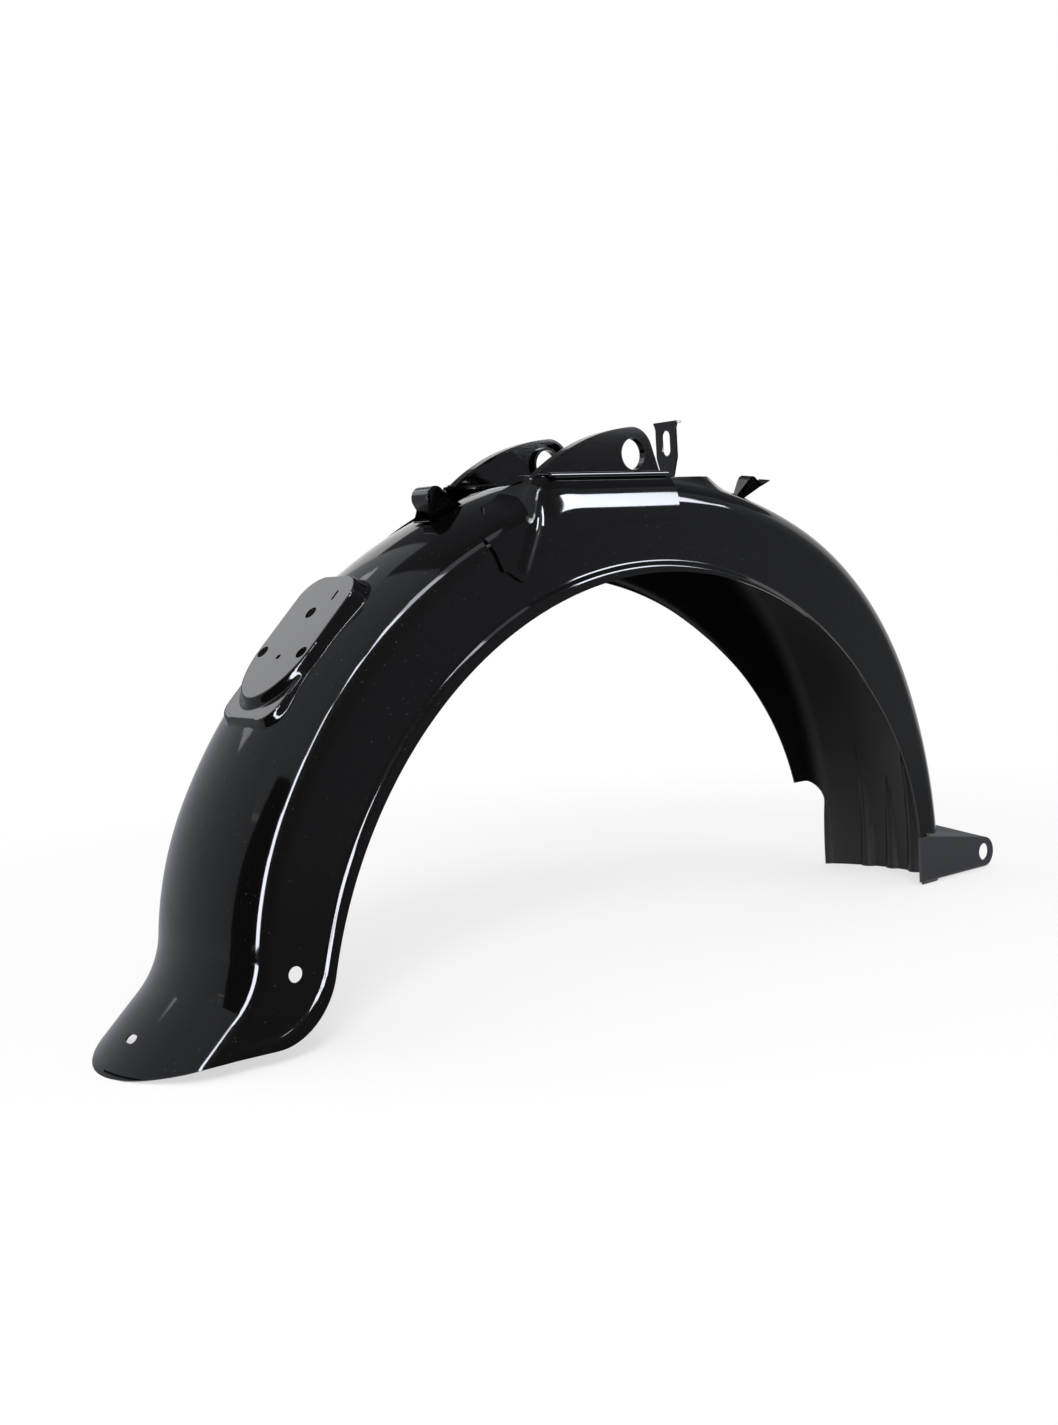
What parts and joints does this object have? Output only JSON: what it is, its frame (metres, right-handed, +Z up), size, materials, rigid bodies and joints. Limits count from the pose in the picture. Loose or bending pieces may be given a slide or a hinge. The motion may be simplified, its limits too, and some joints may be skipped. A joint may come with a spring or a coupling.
{
  "type": "motorcycle rear fender",
  "caption": "Deep steel rear fender with a flared tail, a flat lamp seat, shoulder brackets with eared holes, a slotted seat tab and a bolted front arm.",
  "frame": {"origin": "middle of the footprint, on the surface that both ends stand on", "axes": "+X to the motorcycle's front, +Y to its left, +Z up"},
  "size_m": [0.8789, 0.1528, 0.4265],
  "materials": {
    "black_paint": "gloss"
  },
  "bodies": {
    "root": {"fender_blade": "black_paint", "stay_bracket_right": "black_paint", "stay_bracket_left": "black_paint", "seat_tab": "black_paint", "harness_clip_rear": "black_paint", "harness_clip_front": "black_paint", "front_arm": "black_paint"}
  },
  "joints": []
}
